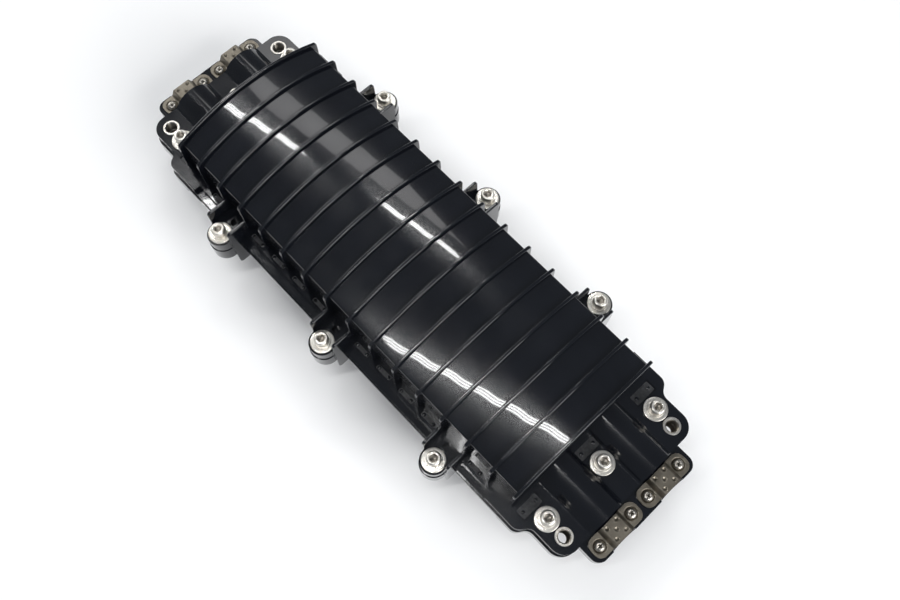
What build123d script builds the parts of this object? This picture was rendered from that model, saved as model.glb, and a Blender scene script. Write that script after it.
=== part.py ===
from build123d import *
import math
import os

os.makedirs("parts", exist_ok=True)

# Horizontal in-line splice closure: two ribbed half shells bolted together around a stack
# of splice trays, with two cable ports and two cable clamps at each end.
# X runs along the cables, Y across and Z up. Z = 0 is the surface that the closure rests on.
# All sizes are millimetres.

# Joint between the half shells, and the flange that runs round both
joint_z = 51.0
flange_t = 9.4
wall_t = 3.0
fit_clear = 0.1

# Dome of the upper half, heights above the joint
dome_half_len = 165.0
dome_half_w = 58.3
dome_side_h = 42.3
dome_crown_h = 54.5

# Basin of the lower half, depths below the joint
basin_side_h = 36.0
basin_crown_h = 46.5

# Ribs round both halves: five to each lug pitch, standing proud of the wall and the crown
lug_pitch = 110.0
ribs_per_lug_pitch = 5
rib_t = 2.4
rib_proud_side = 4.0
rib_proud_crown = 2.6
rib_corner_r = 3.0
foot_half_w = 44.0

# Flange outline
side_half_w = 70.8
ear_r = 11.2
ear_start_x = 178.0
ear_shoulder_x = 183.4
shoulder_r = 7.0
lower_grow = 1.0
rim_w = 5.2
rim_drop = 4.5
rim_end_x = 163.0

# Lugs for the side bolts, each between two fins in the planes of the ribs
lug_y = 78.1
lug_r = 9.6
lug_depth_lower = 12.0
pad_proud = 0.8
seat_r = 9.2
fin_t = 2.4
fin_reach_y = 77.5
fin_h = 13.6
fin_tip_r = 3.0
pilot_r = 3.0
pilot_inboard = 12.2
pilot_depth = 5.0

# Bolts at the ends: one in each corner and one between the ports
end_bolt_x = 186.5
corner_bolt_y = 51.5
end_boss_r = 8.0

# Cover bolts, each with its lock washer and flat washer
bolt_r = 3.0
bolt_len = 20.0
bolt_head_r = 5.0
bolt_head_h = 6.0
hex_across_flats = 5.0
hex_depth = 3.0
bolt_hole_clear = 0.3
washer_r = 8.7
washer_t = 1.6
spring_washer_r = 5.9
spring_washer_t = 1.5

# Mounting bushes in the ears
bush_x = 201.5
bush_y = 51.2
bush_r = 6.1
bush_bore_r = 4.0
bush_proud = 0.6

# Cable ports and their grommets
port_y = 22.9
port_outer_r = 17.3
port_seat_r = 14.3
port_mouth_r = 10.5
port_blend_r = 3.0
port_seat_from_x = 168.0
port_seat_to_x = 203.0
cable_r = 4.0
grommet_nose_len = 6.0
hump_start_x = 150.0

# Tongue of the lower half that carries the cable clamps
tongue_end_x = 230.5
tongue_half_w = 47.3
tongue_corner_r = 7.0

# Cable clamps
clamp_x = 221.7
clamp_w = 14.4
clamp_len = 42.6
clamp_t = 1.5
clamp_corner_r = 5.5
clamp_screw_half = 14.85
clamp_arch_h = 4.4
clamp_arch_foot = 9.8
clamp_arch_top = 6.6
clamp_head_r = 3.7
clamp_head_h = 2.4

# Seals between the half shells
gasket_w = 4.0
gasket_t = 3.0
gasket_y = 62.6
gasket_end_x = 176.5
gasket_corner_r = 6.0

# Shallow recesses moulded in the flange between the ribs and beside the end wall
recess_y = 61.9
recess_w = 4.4
recess_end_gap = 2.6
recess_depth = 1.8
end_recess_x = 173.2
end_recess_len = 9.0
end_recess_w = 18.0
end_recess_y = 53.6
end_recess_depth = 1.0

# Tray carrier: a folded plate on four posts of the lower half
carrier_top_z = 40.0
carrier_t = 2.0
carrier_half_len = 152.0
carrier_half_w = 46.0
carrier_edge_h = 5.0
carrier_bend_r = 4.0
carrier_slot_w = 16.0
carrier_slot_len = 60.0
carrier_slot_x = 36.0
post_x = 126.0
post_y = 36.0
post_r = 5.0
post_head_r = 3.7
post_head_h = 2.4

# Splice trays, stacked on two studs
tray_count = 3
tray_len = 236.0
tray_w = 92.0
tray_h = 10.0
tray_wall = 1.6
tray_floor = 1.6
tray_gap = 0.2
tray_corner_r = 38.0
tray_standoff = 6.0
stud_x = 74.0
stud_r = 2.5
stud_clear = 0.3
stud_spare = 12.0
mandrel_r = 22.0
tray_entry_w = 12.0
tray_entry_y = 24.0
holder_len = 44.0
holder_w = 62.0
holder_h = 5.0
holder_slots = 8
holder_slot_w = 3.2
holder_slot_depth = 3.4
lid_t = 1.6
spacer_r = 4.5
nut_r = 5.5
nut_h = 6.0
wing_len = 9.0
wing_t = 1.6
wing_h = 9.0
wing_root = 2.0
wing_chamfer = 2.5

# Anchors that hold the cables' strength members
anchor_x = 141.0
anchor_len = 14.0
anchor_w = 16.0
anchor_h = 8.0
anchor_groove_r = 2.0
anchor_cap_t = 3.0
anchor_screw_half = 5.0
anchor_head_r = 2.8
anchor_head_h = 1.8

# How far a cutting solid runs past the face it cuts
past = 1.0

# Worked out from the sizes above
rib_pitch = lug_pitch / ribs_per_lug_pitch
rib_half_count = int((dome_half_len - rib_t) // rib_pitch)
rib_xs = [(k + 0.5) * rib_pitch for k in range(rib_half_count)]
rib_xs.append(dome_half_len - rib_t / 2)
end_x = bush_x + ear_r
ear_half_w = bush_y + ear_r
rib_half_w = dome_half_w + rib_proud_side
bolt_hole_r = bolt_r + bolt_hole_clear
bolt_seat_r = bolt_r + fit_clear
lug_xs = (-lug_pitch, 0.0, lug_pitch)
lug_points = [(x, side * lug_y) for x in lug_xs for side in (-1, 1)]
corner_points = [(end * end_bolt_x, side * corner_bolt_y) for end in (-1, 1) for side in (-1, 1)]
centre_points = [(end * end_bolt_x, 0.0) for end in (-1, 1)]
bolt_points = lug_points + corner_points + centre_points
bush_points = [(end * bush_x, side * bush_y) for end in (-1, 1) for side in (-1, 1)]
port_points = [(end, side) for end in (1, -1) for side in (-1, 1)]


def save(shape, name):
    """Write one piece, or one group of alike pieces, to its own file."""
    shape.label = name
    export_step(shape, os.path.join("parts", name + ".step"))


def group(solids):
    """Several alike pieces that stay separate solids in one file."""
    return Compound(children=list(solids))


def pin(x, y, low, high, radius):
    """Upright cylinder between two heights."""
    return Pos(x, y, (low + high) / 2) * Cylinder(radius, high - low)


def block(x_low, x_high, y_low, y_high, z_low, z_high):
    """Box between its two corners."""
    centre = Pos((x_low + x_high) / 2, (y_low + y_high) / 2, (z_low + z_high) / 2)
    return centre * Box(x_high - x_low, y_high - y_low, z_high - z_low)


def rod_x(y, z, x_low, x_high, radius):
    """Cylinder lying along X."""
    return Pos((x_low + x_high) / 2, y, z) * Rot(0, 90, 0) * Cylinder(radius, x_high - x_low)


def section_bar(section, x_low, x_high):
    """A section drawn in Y and Z, pulled along X."""
    return extrude(Plane.YZ.offset(x_low) * section, x_high - x_low)


def four_ways(x, y):
    """The same point in all four quarters of the plan."""
    return [(sx * x, sy * y) for sx in (-1, 1) for sy in (-1, 1)]


def arch_section(half_w, side_h, crown_h, corner_r=0.0):
    """Upright sides under a shallow arc, standing on the joint."""
    left = Line((-half_w, 0), (-half_w, side_h))
    crown = ThreePointArc((-half_w, side_h), (0, crown_h), (half_w, side_h))
    right = Line((half_w, side_h), (half_w, 0))
    base = Line((half_w, 0), (-half_w, 0))
    section = make_face([left, crown, right, base])
    if corner_r > 0:
        shoulders = [v for v in section.vertices() if v.Y > side_h / 2]
        section = fillet(shoulders, corner_r)
    return section


def arch_height(y, half_w, side_h, crown_h):
    """Height of the same arc at a distance from the middle."""
    rise = crown_h - side_h
    radius = (half_w ** 2 + rise ** 2) / (2 * rise)
    return crown_h - radius + math.sqrt(radius ** 2 - y ** 2)


def flange_outline(grow):
    """Plan of the flange: straight sides, drawn in through an S to the four ears."""
    side = side_half_w + grow
    ear = ear_half_w + grow
    end = end_x
    points = [(-ear_start_x, side), (ear_start_x, side), (ear_shoulder_x, ear), (end, ear)]
    points += [(end, -ear), (ear_shoulder_x, -ear), (ear_start_x, -side), (-ear_start_x, -side)]
    points += [(-ear_shoulder_x, -ear), (-end, -ear), (-end, ear), (-ear_shoulder_x, ear)]
    outline = make_face(Polyline(*points, close=True))
    outline = fillet([v for v in outline.vertices() if abs(v.X) > end - past], ear_r)
    shoulders = [v for v in outline.vertices() if abs(v.X) < ear_shoulder_x + past]
    return fillet(shoulders, shoulder_r)


def rib_section(half_w, side_h, crown_h):
    """Section of one rib round the dome."""
    side = side_h + rib_proud_crown / 2
    return arch_section(half_w + rib_proud_side, side, crown_h + rib_proud_crown, rib_corner_r)


def foot_section(half_w, side_h):
    """Section of one rib under the basin, cut flat so that the closure stands on it."""
    wide = half_w + rib_proud_side
    points = [(-wide, 0), (-wide, side_h), (-foot_half_w, joint_z), (foot_half_w, joint_z)]
    points += [(wide, side_h), (wide, 0)]
    return make_face(Polyline(*points, close=True))


def end_section(depth):
    """Section across an end: flat flange with the two round port humps blended into it."""
    slab = Pos(0, depth / 2) * Rectangle(2 * side_half_w, depth)
    humps = [Pos(side * port_y, 0) * Circle(port_outer_r) for side in (-1, 1)]
    above = Pos(0, port_outer_r) * Rectangle(2 * side_half_w, 2 * port_outer_r)
    section = (slab + humps[0] + humps[1]) & above
    creases = []
    for vertex in section.vertices():
        at_top = abs(vertex.Y - depth) < 0.01
        if at_top and abs(vertex.X) < port_y + port_outer_r:
            creases.append(vertex)
    return fillet(creases, port_blend_r)


def fin(x, side, height):
    """Upright fin beside a lug, from the wall outwards."""
    root = dome_half_w - wall_t
    points = [(root, 0), (fin_reach_y, 0), (fin_reach_y, height), (root, height)]
    section = make_face(Polyline(*[(side * y, z) for y, z in points], close=True))
    tip = [v for v in section.vertices() if abs(v.X) > root + past and v.Y > past]
    section = fillet(tip, fin_tip_r)
    return section_bar(section, x - fin_t / 2, x + fin_t / 2)


def bay_centres():
    """Middle of each bay between two ribs, without the bays that hold a lug."""
    edges = sorted([-x for x in rib_xs] + rib_xs)
    bays = []
    for low, high in zip(edges[:-1], edges[1:]):
        middle = (low + high) / 2
        if min(abs(middle - x) for x in lug_xs) > rib_pitch / 2:
            bays.append((middle, high - low - rib_t - 2 * recess_end_gap))
    return bays


def half_shell(grow, side_h, crown_h, rib_face, lug_depth):
    """Outside of one half shell, built upwards from the joint, without its hollow."""
    outline = flange_outline(grow)
    body = extrude(outline, flange_t)
    for side in (-1, 1):
        near, far = sorted((side * (side_half_w + grow - rim_w), side * (side_half_w + grow + past)))
        body -= block(-rim_end_x, rim_end_x, near, far, flange_t - rim_drop, flange_t + past)
    ends = section_bar(end_section(flange_t), hump_start_x, end_x + past)
    ends += mirror(ends, Plane.YZ)
    body += ends & extrude(outline, 2 * port_outer_r)
    body += section_bar(arch_section(dome_half_w, side_h, crown_h), -dome_half_len, dome_half_len)
    for x in rib_xs:
        for end in (-1, 1):
            body += section_bar(rib_face, end * x - rib_t / 2, end * x + rib_t / 2)
    for middle, length in bay_centres():
        for side in (-1, 1):
            body -= Pos(middle, side * recess_y, flange_t) * Box(length, recess_w, 2 * recess_depth)
    for end in (-1, 1):
        for y in (-end_recess_y, 0, end_recess_y):
            recess = Box(end_recess_len, end_recess_w, 2 * end_recess_depth)
            body -= Pos(end * end_recess_x, y, flange_t) * recess
    pad_half = rib_pitch / 2 - fin_t / 2
    for x, y in lug_points:
        side = math.copysign(1, y)
        near, far = sorted((side * dome_half_w, y))
        pad = block(x - pad_half, x + pad_half, near, far, 0, flange_t + pad_proud)
        seat = pin(x, y, flange_t, flange_t + 2 * pad_proud, seat_r)
        body += pad - seat
        body += pin(x, y, 0, lug_depth, lug_r + grow / 2)
        for step in (-1, 1):
            body += fin(x + step * rib_pitch / 2, side, flange_t + fin_h)
    return body


def hollow(side_h, crown_h):
    """Space inside one half shell: the main hollow and the four port seats."""
    inner_half_w = dome_half_w - wall_t
    inner_side = arch_height(inner_half_w, dome_half_w, side_h, crown_h) - wall_t
    face = arch_section(inner_half_w, inner_side, crown_h - wall_t)
    space = section_bar(face, -dome_half_len + wall_t, dome_half_len - wall_t)
    for end, side in port_points:
        seat_low, seat_high = sorted((end * port_seat_from_x, end * port_seat_to_x))
        mouth_low, mouth_high = sorted((end * hump_start_x, end * (tongue_end_x + past)))
        space += rod_x(side * port_y, 0, seat_low, seat_high, port_seat_r)
        space += rod_x(side * port_y, 0, mouth_low, mouth_high, port_mouth_r)
    return space


def side_seal(side, width, height):
    """Seal along one side, turned in at both ends to the outer ports."""
    reach = port_y + port_seat_r
    path = [(-gasket_end_x, side * reach), (-gasket_end_x, side * gasket_y)]
    path += [(gasket_end_x, side * gasket_y), (gasket_end_x, side * reach)]
    line = FilletPolyline(*path, radius=gasket_corner_r)
    start = Plane(origin=line @ 0, x_dir=(0, 0, 1), z_dir=line % 0)
    return sweep(start * Rectangle(height, width), path=line)


def middle_seal(end, width, height):
    """Short seal between the two ports of one end."""
    reach = port_y - port_seat_r
    return Pos(end * gasket_end_x, 0, 0) * Box(width, 2 * reach, height)


def seal_grooves():
    """Grooves for the seals, half of each in each half shell."""
    cut = side_seal(1, gasket_w, gasket_t) + side_seal(-1, gasket_w, gasket_t)
    return cut + middle_seal(1, gasket_w, gasket_t) + middle_seal(-1, gasket_w, gasket_t)


def upper_shell():
    """Upper half shell with its bolt holes and bush seats."""
    ribs = rib_section(dome_half_w, dome_side_h, dome_crown_h)
    body = half_shell(0.0, dome_side_h, dome_crown_h, ribs, flange_t)
    body -= hollow(dome_side_h, dome_crown_h)
    body -= seal_grooves()
    for x, y in bolt_points:
        body -= pin(x, y, -past, flange_t + past, bolt_hole_r)
    for x, y in corner_points + centre_points:
        body -= pin(x, y, flange_t, port_outer_r, seat_r)
    for x, y in bush_points:
        body -= pin(x, y, -past, flange_t + past, bush_r)
    for x, y in lug_points:
        inboard = y - math.copysign(pilot_inboard, y)
        pad_top = flange_t + pad_proud
        body -= pin(x, inboard, pad_top - pilot_depth, pad_top + past, pilot_r)
    return Pos(0, 0, joint_z) * body


def tongue(end):
    """Ledge that carries the clamps, with the two ports carried on under it as channels."""
    inner = end_x - ear_r
    plate_low, plate_high = sorted((end * inner, end * tongue_end_x))
    plate = Pos((plate_low + plate_high) / 2, 0) * Rectangle(plate_high - plate_low, 2 * tongue_half_w)
    corners = [v for v in plate.vertices() if abs(v.X) > tongue_end_x - past]
    plate = fillet(corners, tongue_corner_r)
    body = extrude(plate, flange_t)
    for side in (-1, 1):
        channel = rod_x(side * port_y, 0, plate_low, plate_high, port_outer_r)
        body += channel & block(plate_low, plate_high, -side_half_w, side_half_w, 0, port_outer_r)
    return body


def lower_shell():
    """Lower half shell with clamp tongues and the posts for the tray carrier."""
    feet = foot_section(dome_half_w, basin_side_h)
    body = half_shell(lower_grow, basin_side_h, basin_crown_h, feet, lug_depth_lower)
    for end in (-1, 1):
        body += tongue(end)
    for x, y in corner_points + centre_points:
        body += pin(x, y, 0, lug_depth_lower, end_boss_r)
    body -= hollow(basin_side_h, basin_crown_h)
    body -= seal_grooves()
    post_top = joint_z - carrier_top_z + carrier_t
    face = arch_section(dome_half_w, basin_side_h, basin_crown_h)
    basin = section_bar(face, -post_x - post_r, post_x + post_r)
    for x, y in four_ways(post_x, post_y):
        body += pin(x, y, post_top, basin_crown_h, post_r) & basin
    for x, y in bolt_points:
        body -= pin(x, y, -past, lug_depth_lower + past, bolt_seat_r)
    for x, y in bush_points:
        body -= pin(x, y, -past, flange_t + past, bush_r)
    return Pos(0, 0, joint_z) * mirror(body, Plane.XY)


save(upper_shell(), "upper_shell")
save(lower_shell(), "lower_shell")


# Seals between the shells and in the ports
for side, name in ((-1, "side_gasket_front"), (1, "side_gasket_back")):
    save(Pos(0, 0, joint_z) * side_seal(side, gasket_w - fit_clear, gasket_t), name)
for end, name in ((1, "end_gasket_right"), (-1, "end_gasket_left")):
    save(Pos(0, 0, joint_z) * middle_seal(end, gasket_w - fit_clear, gasket_t), name)


def grommet(end, side):
    """Rubber plug that grips one cable in its port."""
    low, high = sorted((end * (port_seat_from_x + fit_clear), end * (port_seat_to_x - fit_clear)))
    nose_low, nose_high = sorted((end * port_seat_to_x, end * (port_seat_to_x + grommet_nose_len)))
    y = side * port_y
    body = rod_x(y, joint_z, low, high, port_seat_r - fit_clear)
    inner_low, inner_high = min(low, nose_low), max(high, nose_high)
    body += rod_x(y, joint_z, inner_low, inner_high, port_mouth_r - fit_clear)
    return body - rod_x(y, joint_z, inner_low - past, inner_high + past, cable_r)


def clamp_strap(end, side):
    """Metal strap over one cable: raised middle, and flat ends with a screw head on each."""
    half = clamp_len / 2
    low_line = [(-half, 0), (-clamp_arch_foot, 0), (-clamp_arch_top, clamp_arch_h)]
    low_line += [(clamp_arch_top, clamp_arch_h), (clamp_arch_foot, 0), (half, 0)]
    high_line = [(y, z + clamp_t) for y, z in reversed(low_line)]
    section = make_face(Polyline(*low_line, *high_line, close=True))
    strap = section_bar(section, -clamp_w / 2, clamp_w / 2)
    plan = fillet(Rectangle(clamp_w, clamp_len).vertices(), clamp_corner_r)
    strap &= extrude(plan, clamp_arch_h + clamp_t)
    for step in (-1, 1):
        strap += pin(0, step * clamp_screw_half, clamp_t, clamp_t + clamp_head_h, clamp_head_r)
    return Pos(end * clamp_x, side * port_y, joint_z) * strap


for number, (end, side) in enumerate(port_points, start=1):
    save(grommet(end, side), f"port_grommet_{number}")
    save(clamp_strap(end, side), f"cable_clamp_{number}")


# Cover bolts, and the bushes that line the mounting holes
washer_z = joint_z + flange_t
spring_z = washer_z + washer_t
head_z = spring_z + spring_washer_t


def ring(x, y, low, high, outer_r, inner_r):
    """Upright ring."""
    return pin(x, y, low, high, outer_r) - pin(x, y, low - past, high + past, inner_r)


def cover_bolt(x, y):
    """Cap screw with a hexagon socket, on its lock washer and flat washer."""
    body = pin(x, y, head_z, head_z + bolt_head_h, bolt_head_r)
    body += pin(x, y, head_z - bolt_len, head_z, bolt_r)
    body += pin(x, y, spring_z, head_z, spring_washer_r)
    body += pin(x, y, washer_z, spring_z, washer_r)
    socket = extrude(RegularPolygon(hex_across_flats / 2, 6, major_radius=False), hex_depth)
    return body - Pos(x, y, head_z + bolt_head_h - hex_depth) * socket


save(group(cover_bolt(x, y) for x, y in bolt_points), "cover_bolts")
bush_high = washer_z + bush_proud
upper_bushes = [ring(x, y, joint_z, bush_high, bush_r, bush_bore_r) for x, y in bush_points]
save(group(upper_bushes), "upper_bushes")
bush_low = joint_z - flange_t - bush_proud
lower_bushes = [ring(x, y, bush_low, joint_z, bush_r, bush_bore_r) for x, y in bush_points]
save(group(lower_bushes), "lower_bushes")


# Tray carrier and what is fixed to it
def tray_carrier():
    """Folded plate with upturned sides and slots for the buffer tubes, screwed down on the posts."""
    low = carrier_top_z - carrier_t
    high = carrier_top_z + carrier_edge_h
    outside = Rectangle(2 * carrier_half_w, high - low)
    outside = fillet([v for v in outside.vertices() if v.Y < 0], carrier_bend_r)
    inside = Pos(0, carrier_t) * Rectangle(2 * (carrier_half_w - carrier_t), high - low)
    inside = fillet([v for v in inside.vertices() if v.Y < 0], carrier_bend_r - carrier_t)
    body = section_bar(Pos(0, (low + high) / 2) * (outside - inside), -carrier_half_len, carrier_half_len)
    slot = extrude(SlotOverall(carrier_slot_len, carrier_slot_w), 3 * carrier_t)
    for x, y in four_ways(carrier_slot_x, tray_entry_y):
        body -= Pos(x, y, low - carrier_t) * slot
    for x, y in four_ways(post_x, post_y):
        body += pin(x, y, carrier_top_z, carrier_top_z + post_head_h, post_head_r)
    for x in (-stud_x, stud_x):
        body -= pin(x, 0, low - past, carrier_top_z + past, stud_r + fit_clear)
    return body


save(tray_carrier(), "tray_carrier")


def anchor(x, y):
    """Saddle for a cable's strength member."""
    high = carrier_top_z + anchor_h
    body = Pos(x, y, high - anchor_h / 2) * Box(anchor_len, anchor_w, anchor_h)
    return body - rod_x(y, high, x - anchor_len, x + anchor_len, anchor_groove_r)


def anchor_plate(x, y):
    """Clamp plate over one anchor, with its two screw heads."""
    low = carrier_top_z + anchor_h
    high = low + anchor_cap_t
    body = Pos(x, y, (low + high) / 2) * Box(anchor_len, anchor_w, anchor_cap_t)
    for step in (-1, 1):
        body += pin(x, y + step * anchor_screw_half, high, high + anchor_head_h, anchor_head_r)
    return body


for number, (end, side) in enumerate(port_points, start=1):
    save(anchor(end * anchor_x, side * port_y), f"strength_anchor_{number}")
    save(anchor_plate(end * anchor_x, side * port_y), f"anchor_plate_{number}")

# Tray stack
tray_pitch = tray_h + tray_gap
first_tray_z = carrier_top_z + tray_standoff
lid_z = first_tray_z + tray_count * tray_pitch
stud_top = lid_z + lid_t + stud_spare


def tray_plan(inset):
    """Plan of a tray, round cornered."""
    plan = Rectangle(tray_len - 2 * inset, tray_w - 2 * inset)
    return fillet(plan.vertices(), tray_corner_r - inset)


def splice_tray(low):
    """Shallow tray with two winding mandrels and four fibre entries."""
    body = extrude(tray_plan(0), tray_h)
    body -= Pos(0, 0, tray_floor) * extrude(tray_plan(tray_wall), tray_h)
    for x in (-stud_x, stud_x):
        body += pin(x, 0, 0, tray_h, mandrel_r)
        body -= pin(x, 0, -past, tray_h + past, stud_r + stud_clear)
    for x, y in four_ways(tray_len / 2, tray_entry_y):
        body -= Pos(x, y, tray_floor + tray_h / 2) * Box(4 * tray_wall, tray_entry_w, tray_h)
    return Pos(0, 0, low) * body


def splice_holder(low):
    """Comb that holds the splice protectors side by side."""
    body = block(-holder_len / 2, holder_len / 2, -holder_w / 2, holder_w / 2, 0, holder_h)
    step = holder_w / holder_slots
    for index in range(holder_slots):
        y = (index + 0.5) * step - holder_w / 2
        body -= Pos(0, y, holder_h) * Box(2 * holder_len, holder_slot_w, 2 * holder_slot_depth)
    return Pos(0, 0, low) * body


for number in range(tray_count):
    tray_z = first_tray_z + number * tray_pitch
    save(splice_tray(tray_z), f"splice_tray_{number + 1}")
    save(splice_holder(tray_z + tray_floor), f"splice_holder_{number + 1}")


def tray_lid():
    """Flat cover over the top tray."""
    body = extrude(tray_plan(0), lid_t)
    for x in (-stud_x, stud_x):
        body -= pin(x, 0, -past, lid_t + past, stud_r + stud_clear)
    return Pos(0, 0, lid_z - tray_gap) * body


def wing_nut(x):
    """Nut with two wings, turned by hand."""
    low = lid_z - tray_gap + lid_t
    body = pin(x, 0, low, low + nut_h, nut_r)
    for side in (-1, 1):
        profile = chamfer(Rectangle(wing_len, wing_h).vertices(), wing_chamfer)
        wing = extrude(Plane.XZ * profile, wing_t / 2, both=True)
        body += Pos(x + side * (nut_r + wing_len / 2 - wing_root), 0, low + nut_h) * wing
    return body - pin(x, 0, low - past, low + nut_h + past, stud_r + fit_clear)


save(tray_lid(), "tray_lid")
studs = []
for x in (-stud_x, stud_x):
    collar = pin(x, 0, carrier_top_z, first_tray_z, spacer_r)
    studs.append(collar + pin(x, 0, carrier_top_z - carrier_t, stud_top, stud_r))
save(group(studs), "tray_studs")
save(group(wing_nut(x) for x in (-stud_x, stud_x)), "wing_nuts")
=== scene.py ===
import math
import bmesh
import bpy
from mathutils import Matrix, Vector


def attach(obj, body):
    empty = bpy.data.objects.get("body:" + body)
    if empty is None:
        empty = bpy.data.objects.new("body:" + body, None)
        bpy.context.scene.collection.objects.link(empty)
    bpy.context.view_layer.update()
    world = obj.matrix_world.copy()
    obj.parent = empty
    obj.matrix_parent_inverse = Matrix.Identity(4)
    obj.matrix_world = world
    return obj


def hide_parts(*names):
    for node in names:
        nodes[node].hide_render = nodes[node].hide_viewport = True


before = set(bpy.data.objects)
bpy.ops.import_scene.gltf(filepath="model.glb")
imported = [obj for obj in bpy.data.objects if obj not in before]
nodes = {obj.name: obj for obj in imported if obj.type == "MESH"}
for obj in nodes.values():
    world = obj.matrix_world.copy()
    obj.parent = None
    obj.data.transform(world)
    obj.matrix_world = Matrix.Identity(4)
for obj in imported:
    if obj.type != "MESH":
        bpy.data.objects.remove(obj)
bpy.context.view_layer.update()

# Camera
# The photograph looks down steeply along the closure, from above its near right corner.
# Place, turn and lens come from the flange, ribs, bolts and ports as they lie in the photograph.


def placed(name, data):
    """A new object in the scene."""
    thing = bpy.data.objects.new(name, data)
    bpy.context.scene.collection.objects.link(thing)
    return thing


camera = placed("camera", bpy.data.cameras.new("camera"))
camera.location = (0.17858, -0.13803, 0.62770)
camera.rotation_mode = "XYZ"
camera.rotation_euler = (0.340893, -0.011937, 0.810589)
camera.data.sensor_width = 36.0
camera.data.lens = 34.885
camera.data.clip_start = 0.01
bpy.context.scene.camera = camera

# Studio light
# A dim room. Its louvred ceiling lamps, of three tubes each, draw the slanting streaks over the
# dome, and a wide soft panel the grey sheen. Panels past both ends light the floor and the metal.
ROOM_TINT = (0.84, 0.91, 1.0, 1.0)
ROOM_GLOW = 0.19
CEILING = 1.5
TUBE_W = 0.011
TUBE_STEP = 0.019
CLOSURE_MIDDLE = (0, 0, 0.05)

bpy.context.scene.view_settings.view_transform = "Standard"
world = bpy.data.worlds.new("studio")
world.use_nodes = True
room = world.node_tree.nodes["Background"]
room.inputs["Color"].default_value = ROOM_TINT
room.inputs["Strength"].default_value = ROOM_GLOW
bpy.context.scene.world = world


def soft_lamp(name, start, end, width, glow, aim=None):
    """Lamp of even brightness between two points. It faces straight down, or the point given."""
    start, end = Vector(start), Vector(end)
    middle = (start + end) / 2
    along = (end - start).normalized()
    back = (middle - Vector(aim)).normalized() if aim else Vector((0, 0, 1))
    across = back.cross(along).normalized()
    back = along.cross(across)
    data = bpy.data.lights.new(name, "AREA")
    data.shape = "RECTANGLE"
    data.size = (end - start).length
    data.size_y = width
    data.energy = glow * math.pi * data.size * data.size_y
    light = placed(name, data)
    light.location = middle
    light.rotation_euler = Matrix((along, across, back)).transposed().to_euler()


def louvre_lamp(name, start, end, glow):
    """Three parallel tubes."""
    start, end = Vector(start), Vector(end)
    across = (end - start).cross(Vector((0, 0, 1))).normalized()
    for step in (-1, 0, 1):
        shift = across * step * TUBE_STEP
        soft_lamp(f"{name}_{step + 2}", start + shift, end + shift, TUBE_W, glow)


louvre_lamp("near_lamp", (-0.40, -0.96, CEILING), (0.13, 0.024, CEILING), glow=50.0)
louvre_lamp("far_lamp", (-1.06, -0.12, CEILING), (-0.82, 0.26, CEILING), glow=56.0)
louvre_lamp("middle_lamp", (-0.62, 0.56, CEILING), (-0.42, 0.90, CEILING), glow=56.0)
soft_lamp("sheen_panel", (-1.12, 0.42, CEILING), (-0.62, 1.26, CEILING), width=0.34, glow=3.0)
soft_lamp("right_panel", (2.0, -0.8, 1.4), (2.0, 0.9, 1.4), width=1.2, glow=8.0,
          aim=CLOSURE_MIDDLE)
soft_lamp("left_panel", (-2.4, -0.9, 1.3), (-2.4, 0.7, 1.3), width=0.9, glow=5.0,
          aim=CLOSURE_MIDDLE)

# Floor
# A plain pale sheet of painted board under the closure.
# The paint is matt, and a touch uneven in how light it is.
FLOOR_HALF = 4.0


def finish(name):
    """A new material: its tree, its main shader and its Object coordinates."""
    material = bpy.data.materials.new(name)
    material.use_nodes = True
    tree = material.node_tree
    place = tree.nodes.new("ShaderNodeTexCoord").outputs["Object"]
    return material, tree, tree.nodes["Principled BSDF"], place


def wave(tree, place, scale, detail=2.0, roughness=0.5):
    """Soft random pattern over Object coordinates, at a scale in waves per metre."""
    noise = tree.nodes.new("ShaderNodeTexNoise")
    noise.inputs["Scale"].default_value = scale
    noise.inputs["Detail"].default_value = detail
    noise.inputs["Roughness"].default_value = roughness
    tree.links.new(place, noise.inputs["Vector"])
    return noise.outputs["Fac"]


def tint(tree, shader, value, tints):
    """Lays colours along a pattern's values."""
    ramp = tree.nodes.new("ShaderNodeValToRGB")
    while len(ramp.color_ramp.elements) < len(tints):
        ramp.color_ramp.elements.new(0.5)
    for element, (position, colour) in zip(ramp.color_ramp.elements, tints):
        element.position = position
        element.color = (*colour, 1.0)
    tree.links.new(value, ramp.inputs["Fac"])
    tree.links.new(ramp.outputs["Color"], shader.inputs["Base Color"])


floor_corners = [(-FLOOR_HALF, -FLOOR_HALF), (FLOOR_HALF, -FLOOR_HALF),
                 (FLOOR_HALF, FLOOR_HALF), (-FLOOR_HALF, FLOOR_HALF)]
floor_mesh = bpy.data.meshes.new("floor")
floor_mesh.from_pydata([(x, y, 0) for x, y in floor_corners], [], [(0, 1, 2, 3)])
floor = placed("floor", floor_mesh)
floor_paint, tree, shader, place = finish("floor_paint")
shader.inputs["Roughness"].default_value = 0.7
shader.inputs["Specular IOR Level"].default_value = 0.2
tint(tree, shader, wave(tree, place, 6.0), [(0.3, (0.96, 0.96, 0.96)), (0.7, (0.98, 0.98, 0.98))])
floor_mesh.materials.append(floor_paint)

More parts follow.
